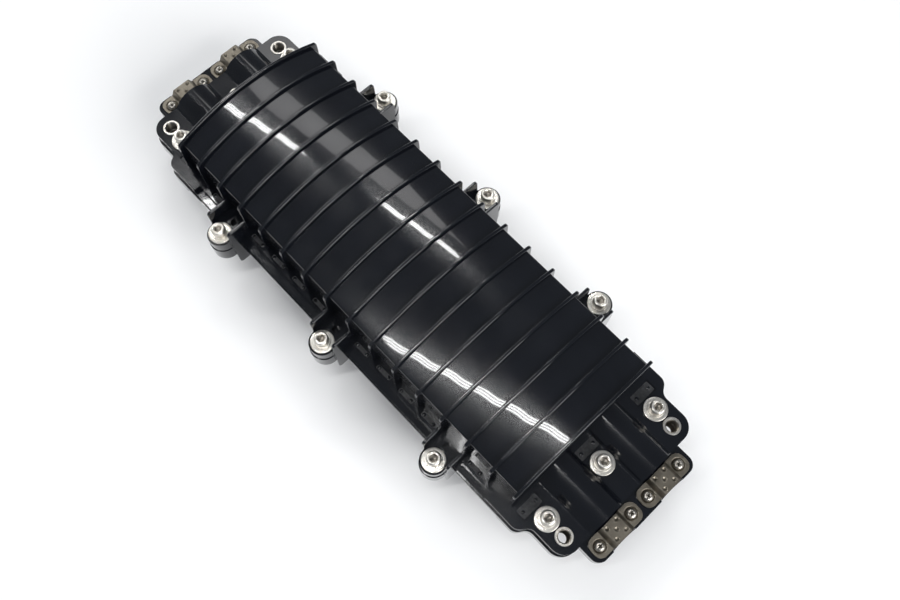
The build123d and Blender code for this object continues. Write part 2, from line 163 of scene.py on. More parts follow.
# Half shells
# Two halves of black plastic, injection moulded in polished tools: a deep gloss over a faint haze,
# drawn in a little between the ribs as it cooled. Ribs have round tops, other edges small radii.
MM = 0.001
JOINT = 51.0 * MM
FLANGE_T = 9.4 * MM
FLANGE_TOP = JOINT + FLANGE_T
RIB_STEP = 22.0 * MM
RIB_T = 2.4 * MM
END_RIB_X = 163.8 * MM
RIB_XS = [(k + 0.5) * RIB_STEP for k in range(7)] + [END_RIB_X]
RIB_ROUND = 1.05 * MM
RIB_FOOT = 1.0 * MM
RIB_CORNER = math.radians(60.0)
ON_FACE = 0.02 * MM
EDGE_ROUND = 0.35 * MM
SHARP = math.radians(28.0)
SAME_POINT = 0.005 * MM
ONE_PLANE = math.radians(0.4)
MANY_CORNERS = 8
SINK_DEPTH = 0.018 * MM
SINK_FROM = 70.0 * MM
SINK_FULL = 80.0 * MM
SWELL_DEPTH = 0.04 * MM
SKIN_DEPTH = 0.0005 * MM
WAVE_TURNS = 20.0


def spread(tree, value, low, high, from_low=0.3, from_high=0.7):
    """A pattern's values brought between two others."""
    ranged = tree.nodes.new("ShaderNodeMapRange")
    ranged.inputs["From Min"].default_value = from_low
    ranged.inputs["From Max"].default_value = from_high
    ranged.inputs["To Min"].default_value = low
    ranged.inputs["To Max"].default_value = high
    tree.links.new(value, ranged.inputs["Value"])
    return ranged.outputs["Result"]


def relief(tree, shader, value, depth, before=None):
    """Bump of a depth in metres, laid over an earlier one."""
    bump = tree.nodes.new("ShaderNodeBump")
    bump.inputs["Strength"].default_value = 1.0
    bump.inputs["Distance"].default_value = depth
    tree.links.new(value, bump.inputs["Height"])
    if before:
        tree.links.new(before, bump.inputs["Normal"])
    tree.links.new(bump.outputs["Normal"], shader.inputs["Normal"])
    return bump.outputs["Normal"]


moulded_black, tree, shader, place = finish("moulded_black")
shader.inputs["Specular IOR Level"].default_value = 0.3
shader.inputs["Coat Weight"].default_value = 0.6
shader.inputs["Coat Roughness"].default_value = 0.038
tint(tree, shader, wave(tree, place, 34.0, 3.0),
     [(0.3, (0.0028, 0.0034, 0.0056)), (0.7, (0.0052, 0.0062, 0.0092))])
haze = spread(tree, wave(tree, place, 60.0, 2.0), 0.16, 0.21)
tree.links.new(haze, shader.inputs["Roughness"])
sink = tree.nodes.new("ShaderNodeTexWave")
sink.wave_type = "BANDS"
sink.bands_direction = "X"
# The pattern has WAVE_TURNS / (2 pi) bands a metre at a scale of 1. Here a bay holds one band.
sink.inputs["Scale"].default_value = 2 * math.pi / (WAVE_TURNS * RIB_STEP)
tree.links.new(place, sink.inputs["Vector"])
apart = tree.nodes.new("ShaderNodeSeparateXYZ")
tree.links.new(place, apart.inputs["Vector"])
on_dome = tree.nodes.new("ShaderNodeMath")
on_dome.operation = "MULTIPLY"
tree.links.new(sink.outputs["Fac"], on_dome.inputs[0])
tree.links.new(spread(tree, apart.outputs["Z"], 0.0, 1.0, SINK_FROM, SINK_FULL), on_dome.inputs[1])
drawn_in = relief(tree, shader, on_dome.outputs["Value"], SINK_DEPTH)
swell = relief(tree, shader, wave(tree, place, 24.0, 1.0), SWELL_DEPTH, drawn_in)
skin = relief(tree, shader, wave(tree, place, 900.0, 1.0), SKIN_DEPTH, swell)
tree.links.new(skin, shader.inputs["Coat Normal"])


def smooth_by_angle(shape, angle):
    """Rounds the shading, apart from edges sharper than an angle."""
    for face in shape.faces:
        face.smooth = True
    for edge in shape.edges:
        edge.smooth = len(edge.link_faces) == 2 and edge.calc_face_angle(0.0) < angle


def small_radius(piece, width, angle):
    """Small radius on the edges that are sharper than an angle."""
    edge = piece.modifiers.new("edge", "BEVEL")
    edge.width = width
    edge.segments = 2
    edge.limit_method = "ANGLE"
    edge.angle_limit = angle


def on_rib_face(point):
    """Whether a point lies on a side face of a rib, well clear of the flange."""
    beside = min(abs(abs(abs(point.x) - x) - RIB_T / 2) for x in RIB_XS)
    return beside < ON_FACE and abs(point.z - JOINT) > FLANGE_T + RIB_FOOT


def moulded(name):
    """A CAD half shell's shape with round rib tops and small radii on its other edges."""
    mesh = nodes[name].data.copy()
    mesh.materials.clear()
    shell = placed(name + "_moulded", mesh)
    shape = bmesh.new()
    shape.from_mesh(mesh)
    bmesh.ops.remove_doubles(shape, verts=shape.verts, dist=SAME_POINT)
    bmesh.ops.dissolve_limit(shape, angle_limit=ONE_PLANE, verts=shape.verts, edges=shape.edges)
    rib_edges = [edge for edge in shape.edges if len(edge.link_faces) == 2 and edge.is_convex
                 and edge.calc_face_angle(0.0) > RIB_CORNER
                 and all(on_rib_face(vertex.co) for vertex in edge.verts)]
    bmesh.ops.bevel(shape, geom=rib_edges, offset=RIB_ROUND, offset_type="OFFSET", segments=4,
                    profile=0.5, affect="EDGES", clamp_overlap=True)
    # A face with many corners would fold over itself as its edges are rounded.
    arches = [face for face in shape.faces if len(face.verts) > MANY_CORNERS]
    bmesh.ops.triangulate(shape, faces=arches, quad_method="BEAUTY", ngon_method="BEAUTY")
    smooth_by_angle(shape, SHARP)
    shape.to_mesh(mesh)
    shape.free()
    mesh.materials.append(moulded_black)
    small_radius(shell, EDGE_ROUND, SHARP)
    even = shell.modifiers.new("even", "WEIGHTED_NORMAL")
    even.keep_sharp = True
    even.weight = 100
    return shell


for name, body in (("lower_shell", "lower_half"), ("upper_shell", "upper_half")):
    shell = moulded(name)
    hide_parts(name)
    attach(shell, body)

# Recess floors
# The shallow recesses of the upper flange have a dull floor, from a spark-eroded patch of the tool,
# with two small round marks of the ejector pins in each.
LUG_XS = (-110.0 * MM, 0.0, 110.0 * MM)
SIDE_RECESS_Y = 61.9 * MM
SIDE_RECESS_DEPTH = 1.8 * MM
SIDE_PATCH = (13.0 * MM, 3.2 * MM)
SIDE_MARK_STEP = 4.6 * MM
END_RECESS_X = 173.2 * MM
END_RECESS_Y = 53.6 * MM
END_RECESS_DEPTH = 1.0 * MM
END_PATCH = (7.6 * MM, 16.6 * MM)
END_MARK_STEP = 5.6 * MM
PATCH_T = 0.15 * MM
PATCH_CORNER = 0.8 * MM
MARK_R = 1.3 * MM
MARK_H = 0.3 * MM
MARK_ROUND = 0.1 * MM
MARK_ROOT = 0.2 * MM
TURNED_EDGE = math.radians(32.0)


def grained(name, levels, tints, tint_grain, roughness, roughness_grain, depth, depth_grain):
    """A finish with even levels, and a random grain in its colour, roughness and relief.
    Each grain is a scale, its detail and its roughness, as wave() takes them."""
    material, tree, shader, place = finish(name)
    for level_name, level in levels.items():
        shader.inputs[level_name].default_value = level
    tint(tree, shader, wave(tree, place, *tint_grain), tints)
    rough = spread(tree, wave(tree, place, *roughness_grain), *roughness)
    tree.links.new(rough, shader.inputs["Roughness"])
    relief(tree, shader, wave(tree, place, *depth_grain), depth)
    return material


eroded_black = grained(
    "eroded_black", {"Specular IOR Level": 0.55},
    tints=[(0.35, (0.010, 0.011, 0.013)), (0.75, (0.040, 0.041, 0.044))], tint_grain=(500.0, 4.0),
    roughness=(0.28, 0.60), roughness_grain=(420.0, 4.0, 0.6),
    depth=0.25 * MM, depth_grain=(700.0, 4.0, 0.6))


def live(sockets, name):
    """The socket of a name that is in use."""
    return next(socket for socket in sockets if socket.name == name and socket.enabled)


def open_tree(name, inputs, result):
    """A new node tree with named inputs and one result, and its entry and exit nodes."""
    tree = bpy.data.node_groups.new(name, "GeometryNodeTree")
    for socket_name, kind in inputs.items():
        tree.interface.new_socket(socket_name, in_out="INPUT", socket_type="NodeSocket" + kind)
    tree.interface.new_socket(result, in_out="OUTPUT", socket_type="NodeSocketGeometry")
    return tree, tree.nodes.new("NodeGroupInput"), tree.nodes.new("NodeGroupOutput")


def close_tree(tree, entry, leave, geometry):
    """Ends a node tree with one plain mesh in the finish that is put in."""
    solid = tree.nodes.new("GeometryNodeRealizeInstances")
    paint = tree.nodes.new("GeometryNodeSetMaterial")
    tree.links.new(geometry, solid.inputs["Geometry"])
    tree.links.new(solid.outputs["Geometry"], paint.inputs["Geometry"])
    tree.links.new(entry.outputs["Finish"], paint.inputs["Material"])
    tree.links.new(paint.outputs["Geometry"], leave.inputs[0])


def set_out_tree():
    """Node tree that sets a piece out on points, turned to each point's heading and a random
    amount more."""
    tree, entry, leave = open_tree("set_out", {
        "Points": "Geometry", "Piece": "Object", "Turn": "Float", "Seed": "Int",
        "Finish": "Material"}, "Pieces")
    piece = tree.nodes.new("GeometryNodeObjectInfo")
    turn = tree.nodes.new("FunctionNodeRandomValue")
    turn.data_type = "FLOAT"
    heading = tree.nodes.new("GeometryNodeInputNamedAttribute")
    heading.data_type = "FLOAT"
    heading.inputs["Name"].default_value = "heading"
    both = tree.nodes.new("ShaderNodeMath")
    both.operation = "ADD"
    upright = tree.nodes.new("ShaderNodeCombineXYZ")
    place_all = tree.nodes.new("GeometryNodeInstanceOnPoints")
    join = tree.links.new
    join(entry.outputs["Piece"], piece.inputs["Object"])
    join(entry.outputs["Turn"], live(turn.inputs, "Max"))
    join(entry.outputs["Seed"], live(turn.inputs, "Seed"))
    join(live(heading.outputs, "Attribute"), both.inputs[0])
    join(live(turn.outputs, "Value"), both.inputs[1])
    join(both.outputs["Value"], upright.inputs["Z"])
    join(entry.outputs["Points"], place_all.inputs["Points"])
    join(piece.outputs["Geometry"], place_all.inputs["Instance"])
    join(upright.outputs["Vector"], place_all.inputs["Rotation"])
    close_tree(tree, entry, leave, place_all.outputs["Instances"])
    return tree


def grown(name, mesh, tree, values):
    """The plain mesh that a node tree makes from a mesh and its named inputs."""
    carrier = placed(name + "_seed", mesh)
    modifier = carrier.modifiers.new("grow", "NODES")
    modifier.node_group = tree
    for item in tree.interface.items_tree:
        if item.in_out == "INPUT" and item.name in values:
            modifier[item.identifier] = values[item.name]
    seen = carrier.evaluated_get(bpy.context.evaluated_depsgraph_get())
    result = bpy.data.meshes.new_from_object(seen)
    result.name = name
    carrier.modifiers.clear()
    bpy.data.objects.remove(carrier)
    return result


SET_OUT = set_out_tree()


def set_out(name, mesh, points, material, body, headings=None, turn=0.0, seed=1,
            stands_for=()):
    """Copies of one mesh on points, as one piece that rides on a body."""
    pattern = placed(name + "_pattern", mesh)
    dots = bpy.data.meshes.new(name + "_points")
    dots.from_pydata(points, [], [])
    turned_to = dots.attributes.new("heading", "FLOAT", "POINT")
    turned_to.data.foreach_set("value", headings or [0.0] * len(points))
    result = grown(name, dots, SET_OUT,
                   {"Piece": pattern, "Turn": turn, "Seed": seed, "Finish": material})
    bpy.data.objects.remove(pattern)
    piece = placed(name, result)
    if stands_for:
        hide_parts(*stands_for)
    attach(piece, body)


def meshed(shape, name, sharp):
    """A shape's mesh, with round shading apart from edges sharper than an angle."""
    smooth_by_angle(shape, sharp)
    mesh = bpy.data.meshes.new(name)
    shape.to_mesh(mesh)
    shape.free()
    return mesh


def stacked(name, rings, sides=96, deep=lambda reach, height: 0.0):
    """Closed mesh from outlines stacked upwards, each a height and one radius or a radius by angle.
    Each point notes its distance from the axis, and how much painted shade its finish gets in a
    recess."""
    shape = bmesh.new()
    reach_note = shape.verts.layers.float.new("reach")
    deep_note = shape.verts.layers.float.new("deep")
    loops = []
    for height, radius in rings:
        loop = []
        for k in range(sides):
            turn = 2 * math.pi * k / sides
            reach = radius(turn) if callable(radius) else radius
            vertex = shape.verts.new((reach * math.cos(turn), reach * math.sin(turn), height))
            vertex[reach_note] = reach
            vertex[deep_note] = deep(reach, height)
            loop.append(vertex)
        loops.append(loop)
    for low, high in zip(loops, loops[1:]):
        for k in range(sides):
            after = (k + 1) % sides
            shape.faces.new((low[k], low[after], high[after], high[k]))
    shape.faces.new(reversed(loops[0]))
    shape.faces.new(loops[-1])
    return meshed(shape, name, TURNED_EDGE)


def patch(name, size):
    """Thin plate of a length and width, with rounded corners."""
    shape = bmesh.new()
    bmesh.ops.create_cube(shape, size=1.0)
    for vertex in shape.verts:
        vertex.co = Vector((vertex.co.x * size[0], vertex.co.y * size[1], vertex.co.z * PATCH_T))
    corners = [edge for edge in shape.edges
               if abs(edge.verts[0].co.z - edge.verts[1].co.z) > PATCH_T / 2]
    bmesh.ops.bevel(shape, geom=corners, offset=PATCH_CORNER, offset_type="OFFSET", segments=4,
                    profile=0.5, affect="EDGES")
    return meshed(shape, name, TURNED_EDGE)


side_bays = [k * RIB_STEP for k in range(-6, 7)
             if min(abs(k * RIB_STEP - x) for x in LUG_XS) > RIB_STEP / 2]
side_floors = [(x, side * SIDE_RECESS_Y, FLANGE_TOP - SIDE_RECESS_DEPTH)
               for x in side_bays for side in (-1, 1)]
end_floors = [(end * END_RECESS_X, y, FLANGE_TOP - END_RECESS_DEPTH)
              for end in (-1, 1) for y in (-END_RECESS_Y, 0.0, END_RECESS_Y)]
marks = [(x + way * SIDE_MARK_STEP, y, z) for x, y, z in side_floors for way in (-1, 1)]
marks += [(x, y + way * END_MARK_STEP, z) for x, y, z in end_floors for way in (-1, 1)]
pin_mark = stacked("pin_mark", [(-MARK_ROOT, MARK_R), (MARK_H - MARK_ROUND, MARK_R),
                                (MARK_H, MARK_R - MARK_ROUND)], sides=28)
set_out("side_recess_floors", patch("side_patch", SIDE_PATCH), side_floors, eroded_black,
        "upper_half")
set_out("end_recess_floors", patch("end_patch", END_PATCH), end_floors, eroded_black,
        "upper_half")
set_out("pin_marks", pin_mark, marks, moulded_black, "upper_half")

# Ear bushes
# Turned bushes of nickel-plated steel moulded into the four ears of each half, end to end.
# They stand just proud, with a chamfered mouth and a thread inside.
BUSH_X = 201.5 * MM
BUSH_Y = 51.2 * MM
BUSH_R = 6.1 * MM
BUSH_BORE = 4.0 * MM
BUSH_PROUD = 0.6 * MM
BUSH_LEN = FLANGE_T + BUSH_PROUD
BUSH_EDGE = 0.3 * MM
BUSH_MOUTH = 0.7 * MM
BUSH_FOOT = 0.5 * MM
BUSH_PLAIN = 0.9 * MM
BUSH_PITCH = 1.25 * MM
BUSH_CREST = 0.15 * MM
BUSH_CUT = 0.4 * MM
BUSH_SHADED_R = BUSH_BORE + 0.45 * MM
BUSH_SHADE = 0.75
ANY_TURN = 6.28


def paint_recess_shade(material, painted_shade):
    """Painted shade: darkens a finish by the share that the piece notes for shade in its recesses.
    """
    tree = material.node_tree
    colour = tree.nodes["Principled BSDF"].inputs["Base Color"]
    clean = colour.links[0].from_socket
    deep = tree.nodes.new("ShaderNodeAttribute")
    deep.attribute_name = "deep"
    mixed = tree.nodes.new("ShaderNodeMix")
    mixed.data_type = "RGBA"
    tree.links.new(deep.outputs["Fac"], live(mixed.inputs, "Factor"))
    tree.links.new(clean, live(mixed.inputs, "A"))
    live(mixed.inputs, "B").default_value = (*painted_shade, 1.0)
    tree.links.new(live(mixed.outputs, "Result"), colour)


bright_steel, tree, shader, place = finish("bright_steel")
shader.inputs["Metallic"].default_value = 1.0
tint(tree, shader, wave(tree, place, 160.0, 3.0),
     [(0.3, (0.74, 0.70, 0.63)), (0.7, (0.86, 0.83, 0.77))])
# Painted shade: the bores of the bushes and the key sockets of the cap screws are darkened to this
# colour.
paint_recess_shade(bright_steel, (0.10, 0.085, 0.065))
turned_at = tree.nodes.new("ShaderNodeAttribute")
turned_at.attribute_name = "reach"
cut_lines = tree.nodes.new("ShaderNodeTexNoise")
cut_lines.noise_dimensions = "1D"
cut_lines.inputs["Scale"].default_value = 5200.0
cut_lines.inputs["Detail"].default_value = 1.0
tree.links.new(turned_at.outputs["Fac"], cut_lines.inputs["W"])
tree.links.new(spread(tree, cut_lines.outputs["Fac"], 0.24, 0.40), shader.inputs["Roughness"])
relief(tree, shader, cut_lines.outputs["Fac"], 0.004 * MM)


def turned(name, outline, sides=72, deep=lambda reach: 0.0):
    """Ring turned from a closed outline of radius and height, listed anticlockwise."""
    shape = bmesh.new()
    reach_note = shape.verts.layers.float.new("reach")
    deep_note = shape.verts.layers.float.new("deep")
    columns = []
    for k in range(sides):
        turn = 2 * math.pi * k / sides
        column = [shape.verts.new((r * math.cos(turn), r * math.sin(turn), z)) for r, z in outline]
        for vertex, (r, z) in zip(column, outline):
            vertex[reach_note] = r
            vertex[deep_note] = deep(r)
        columns.append(column)
    for k in range(sides):
        here, there = columns[k], columns[(k + 1) % sides]
        for j in range(len(outline)):
            up = (j + 1) % len(outline)
            shape.faces.new((here[j], there[j], there[up], here[up]))
    bmesh.ops.recalc_face_normals(shape, faces=shape.faces)
    return meshed(shape, name, TURNED_EDGE)


def bush_shade(reach):
    """How much painted shade a bush gets at a distance from its axis: its threaded bore is
    darkened.
    """
    return BUSH_SHADE if reach < BUSH_SHADED_R else 0.0


bush_outline = [(BUSH_BORE + BUSH_FOOT, 0.0), (BUSH_R, 0.0), (BUSH_R, BUSH_LEN - BUSH_EDGE),
                (BUSH_R - BUSH_EDGE, BUSH_LEN), (BUSH_BORE + BUSH_MOUTH, BUSH_LEN)]
thread_z = BUSH_LEN - BUSH_PLAIN
while thread_z > BUSH_PLAIN:
    bush_outline += [(BUSH_BORE - BUSH_CREST, thread_z),
                     (BUSH_BORE + BUSH_CUT, thread_z - BUSH_PITCH / 2)]
    thread_z -= BUSH_PITCH
ear_bush = turned("ear_bush", bush_outline, deep=bush_shade)
under_bush = ear_bush.copy()
for vertex in under_bush.vertices:
    vertex.co.z = -vertex.co.z
under_bush.flip_normals()
ears = [(end * BUSH_X, side * BUSH_Y, JOINT) for end in (-1, 1) for side in (-1, 1)]
set_out("upper_ear_bushes", ear_bush, ears, bright_steel, "upper_half",
        turn=ANY_TURN, seed=7, stands_for=("upper_bushes",))
set_out("lower_ear_bushes", under_bush, ears, bright_steel, "lower_half",
        turn=ANY_TURN, seed=8, stands_for=("lower_bushes",))

# Seals between the halves
# Strips of soft black rubber with a dull face and a fine powder on it. They are laid in the grooves
# of the flange, and the bolts press the halves down on them.
rubber = grained(
    "seal_rubber", {"Specular IOR Level": 0.35},
    tints=[(0.35, (0.010, 0.010, 0.011)), (0.75, (0.030, 0.030, 0.031))], tint_grain=(260.0, 4.0),
    roughness=(0.48, 0.68), roughness_grain=(120.0, 3.0),
    depth=0.02 * MM, depth_grain=(2400.0, 3.0))


def dress(material, *names):
    """Gives CAD nodes a finish."""
    for name in names:
        nodes[name].data.materials.clear()
        nodes[name].data.materials.append(material)


dress(rubber, "side_gasket_front", "side_gasket_back", "end_gasket_left", "end_gasket_right")

# Port grommets
# Stepped plugs of softer grey-black rubber, one in each port, bored for the cable. Moulded rings
# round the bore show where to cut for a thicker cable.
PORT_Y = 22.9 * MM
NOSE_END_X = 209.0 * MM
RING_RS = (5.6 * MM, 7.2 * MM, 8.8 * MM)
RING_HALF_W = 0.25 * MM
RING_H = 0.5 * MM
RING_EDGE = 0.15 * MM
WIRE_EDGE = math.radians(40.0)
WASHER_SAME_POINT = 0.002 * MM

grommet_rubber = grained(
    "grommet_rubber", {"Specular IOR Level": 0.35},
    tints=[(0.35, (0.014, 0.014, 0.015)), (0.75, (0.040, 0.040, 0.041))], tint_grain=(300.0, 4.0),
    roughness=(0.50, 0.70), roughness_grain=(140.0, 3.0),
    depth=0.02 * MM, depth_grain=(2000.0, 3.0))
dress(grommet_rubber, "port_grommet_1", "port_grommet_2", "port_grommet_3", "port_grommet_4")


def washer_tree():
    """Node tree for a flat ring with rounded edges, whole or split, round the upright axis."""
    tree, entry, leave = open_tree("washer", {
        "Outer": "Float", "Bore": "Float", "Thickness": "Float", "Edge": "Float",
        "Sweep": "Float", "Rise": "Float", "Finish": "Material"}, "Ring")
    join = tree.links.new

    def reckon(operation, first, second):
        node = tree.nodes.new("ShaderNodeMath")
        node.operation = operation
        join(first, node.inputs[0])
        if isinstance(second, float):
            node.inputs[1].default_value = second
        else:
            join(second, node.inputs[1])
        return node.outputs["Value"]

    outer, bore = entry.outputs["Outer"], entry.outputs["Bore"]
    path = tree.nodes.new("GeometryNodeCurveArc")
    path.mode = "RADIUS"
    path.inputs["Resolution"].default_value = 64
    join(reckon("MULTIPLY", reckon("ADD", outer, bore), 0.5), path.inputs["Radius"])
    join(entry.outputs["Sweep"], path.inputs["Sweep Angle"])
    part_way = tree.nodes.new("GeometryNodeSplineParameter")
    climb = tree.nodes.new("ShaderNodeCombineXYZ")
    join(reckon("MULTIPLY", part_way.outputs["Factor"], entry.outputs["Rise"]), climb.inputs["Z"])
    lifted = tree.nodes.new("GeometryNodeSetPosition")
    join(path.outputs["Curve"], lifted.inputs["Geometry"])
    join(climb.outputs["Vector"], lifted.inputs["Offset"])
    section = tree.nodes.new("GeometryNodeCurvePrimitiveQuadrilateral")
    join(reckon("SUBTRACT", outer, bore), section.inputs["Width"])
    join(entry.outputs["Thickness"], section.inputs["Height"])
    corners = tree.nodes.new("GeometryNodeFilletCurve")
    corners.mode = "POLY"
    corners.inputs["Count"].default_value = 3
    join(section.outputs["Curve"], corners.inputs["Curve"])
    join(entry.outputs["Edge"], corners.inputs["Radius"])
    skin = tree.nodes.new("GeometryNodeCurveToMesh")
    skin.inputs["Fill Caps"].default_value = True
    join(lifted.outputs["Geometry"], skin.inputs["Curve"])
    join(corners.outputs["Curve"], skin.inputs["Profile Curve"])
    close_tree(tree, entry, leave, skin.outputs["Mesh"])
    return tree


WASHER = washer_tree()


def washer(name, outer, bore, thickness, edge, material, gap=0.0, rise=0.0):
    """One washer's mesh, resting on z = 0."""
    mesh = grown(name, bpy.data.meshes.new(name + "_none"), WASHER,
                 {"Outer": outer, "Bore": bore, "Thickness": thickness, "Edge": edge,
                  "Sweep": 2 * math.pi - gap, "Rise": rise, "Finish": material})
    shape = bmesh.new()
    shape.from_mesh(mesh)
    reach_note = shape.verts.layers.float.new("reach")
    bmesh.ops.remove_doubles(shape, verts=shape.verts, dist=WASHER_SAME_POINT)
    bmesh.ops.recalc_face_normals(shape, faces=shape.faces)
    low = min(vertex.co.z for vertex in shape.verts)
    for vertex in shape.verts:
        vertex.co.z -= low
        vertex[reach_note] = math.hypot(vertex.co.x, vertex.co.y)
    smooth_by_angle(shape, WIRE_EDGE)
    shape.to_mesh(mesh)
    shape.free()
    return mesh


cut_ring = bmesh.new()
for ring_r in RING_RS:
    cut_ring.from_mesh(washer("cut_ring", ring_r + RING_HALF_W, ring_r - RING_HALF_W, RING_H,
                              RING_EDGE, grommet_rubber))
cut_rings = bpy.data.meshes.new("cut_rings")
cut_ring.to_mesh(cut_rings)
cut_ring.free()
cut_rings.transform(Matrix.Rotation(math.radians(90.0), 4, "Y"))
ports = [(1, -1), (1, 1), (-1, -1), (-1, 1)]
set_out("grommet_cut_rings", cut_rings,
        [(end * NOSE_END_X, side * PORT_Y, JOINT) for end, side in ports],
        grommet_rubber, "lower_half",
        headings=[0.0 if end > 0 else math.pi for end, side in ports])

# Tray carrier
# A folded sheet of mill-finish aluminium, with the fine lines of the rolling mill along its length.
# Four pan head screws hold it down on the posts.
ROLLED_STRETCH = (4.0, 160.0, 160.0)

rolled_aluminium, tree, shader, place = finish("rolled_aluminium")
shader.inputs["Metallic"].default_value = 1.0
drawn_out = tree.nodes.new("ShaderNodeMapping")
drawn_out.inputs["Scale"].default_value = ROLLED_STRETCH
tree.links.new(place, drawn_out.inputs["Vector"])
lines = wave(tree, drawn_out.outputs["Vector"], 8.0, 3.0)
tint(tree, shader, lines, [(0.3, (0.56, 0.57, 0.58)), (0.7, (0.70, 0.71, 0.72))])
tree.links.new(spread(tree, lines, 0.26, 0.42), shader.inputs["Roughness"])
relief(tree, shader, lines, 0.006 * MM)
dress(rolled_aluminium, "tray_carrier")

# Strength member anchors
# Saddles of black glass-filled nylon, each under a plated clamp plate with two screws, that grip
# the stiff core of a cable.
anchor_nylon = grained(
    "anchor_nylon", {"Specular IOR Level": 0.4},
    tints=[(0.35, (0.012, 0.012, 0.013)), (0.75, (0.045, 0.045, 0.046))], tint_grain=(420.0, 5.0),
    roughness=(0.38, 0.56), roughness_grain=(300.0, 4.0),
    depth=0.03 * MM, depth_grain=(1600.0, 4.0))
anchor_steel = grained(
    "anchor_steel", {"Metallic": 1.0},
    tints=[(0.3, (0.50, 0.49, 0.47)), (0.7, (0.62, 0.61, 0.58))], tint_grain=(180.0, 4.0),
    roughness=(0.26, 0.42), roughness_grain=(500.0, 4.0),
    depth=0.01 * MM, depth_grain=(1500.0, 3.0))
dress(anchor_nylon, *(f"strength_anchor_{number}" for number in range(1, 5)))
dress(anchor_steel, *(f"anchor_plate_{number}" for number in range(1, 5)))

# Splice trays
# Three trays moulded in off-white plastic with a fine satin grain. Small tabs on the walls keep the
# fibres down as they wind round the tray.
TRAY_HALF_LEN = 118.0 * MM
TRAY_HALF_W = 46.0 * MM
TRAY_CORNER = 38.0 * MM
TRAY_WALL = 1.6 * MM
TRAY_H = 10.0 * MM
TRAY_STEP = 10.2 * MM
FIRST_TRAY_Z = 46.0 * MM
TAB_LEN = 6.0 * MM
TAB_W = 5.0 * MM
TAB_T = 1.0 * MM
TAB_TAPER = 0.3
TAB_ROUND = 0.2 * MM
SIDE_TAB_XS = (-60.0 * MM, -20.0 * MM, 20.0 * MM, 60.0 * MM)

tray_white = grained(
    "tray_white", {"Subsurface Weight": 0.08, "Subsurface Scale": 1.0 * MM},
    tints=[(0.3, (0.70, 0.71, 0.70)), (0.7, (0.78, 0.79, 0.78))], tint_grain=(60.0, 3.0),
    roughness=(0.30, 0.44), roughness_grain=(200.0, 3.0),
    depth=0.008 * MM, depth_grain=(3000.0, 2.0))
dress(tray_white, "splice_tray_1", "splice_tray_2", "splice_tray_3")

tab_shape = bmesh.new()
bmesh.ops.create_cube(tab_shape, size=1.0)
for vertex in tab_shape.verts:
    inward = 0.5 - vertex.co.x
    vertex.co = Vector((vertex.co.x * TAB_LEN - TAB_LEN / 2,
                        vertex.co.y * TAB_W * (1.0 - TAB_TAPER * inward),
                        vertex.co.z * TAB_T - TAB_T / 2))
bmesh.ops.bevel(tab_shape, geom=list(tab_shape.edges), offset=TAB_ROUND, offset_type="OFFSET",
                segments=2, profile=0.5, affect="EDGES")
fibre_tab = meshed(tab_shape, "fibre_tab", WIRE_EDGE)

wall_spots = []
for x in SIDE_TAB_XS:
    wall_spots += [(x, side * (TRAY_HALF_W - TRAY_WALL / 2), side * math.pi / 2)
                   for side in (-1, 1)]
for end in (-1, 1):
    for side in (-1, 1):
        around = math.atan2(side, end)
        middle_x = end * (TRAY_HALF_LEN - TRAY_CORNER)
        middle_y = side * (TRAY_HALF_W - TRAY_CORNER)
        reach = TRAY_CORNER - TRAY_WALL / 2
        wall_spots.append((middle_x + reach * math.cos(around),
                           middle_y + reach * math.sin(around), around))
tabs, tab_headings = [], []
for number in range(3):
    rim_z = FIRST_TRAY_Z + number * TRAY_STEP + TRAY_H
    for x, y, heading in wall_spots:
        tabs.append((x, y, rim_z))
        tab_headings.append(heading)
set_out("fibre_tabs", fibre_tab, tabs, tray_white, "lower_half",
        headings=tab_headings)

# Splice holders
# Combs of blue-grey plastic, moulded in one and pressed into the trays.
# They grip the splice sleeves side by side.
comb_plastic = grained(
    "comb_plastic", {"Specular IOR Level": 0.45},
    tints=[(0.3, (0.055, 0.10, 0.16)), (0.7, (0.075, 0.13, 0.20))], tint_grain=(90.0, 3.0),
    roughness=(0.34, 0.48), roughness_grain=(240.0, 3.0),
    depth=0.01 * MM, depth_grain=(2600.0, 2.0))
dress(comb_plastic, "splice_holder_1", "splice_holder_2", "splice_holder_3")

# Tray lid
# A clear polycarbonate sheet cut to the tray's outline, lightly hazed by handling.
# It lies on the top tray, under the wing nuts.
clear_sheet = grained(
    "clear_sheet", {"Transmission Weight": 0.9, "IOR": 1.45},
    tints=[(0.3, (0.90, 0.94, 0.95)), (0.7, (0.95, 0.97, 0.98))], tint_grain=(40.0, 2.0),
    roughness=(0.05, 0.16), roughness_grain=(120.0, 4.0, 0.6),
    depth=0.03 * MM, depth_grain=(30.0, 1.0))
dress(clear_sheet, "tray_lid")

# Tray studs and wing nuts
# Two threaded studs of zinc-plated steel stand on the carrier through the trays. Cast wing nuts,
# turned by hand, hold the lid and the trays down.
STUD_X = 74.0 * MM
STUD_R = 2.5 * MM
STUD_TOP = 90.2 * MM
STUD_THREAD = 18.0 * MM
STUD_PLAIN = 0.5 * MM
STUD_PITCH = 0.8 * MM
STUD_DEPTH = 0.25 * MM


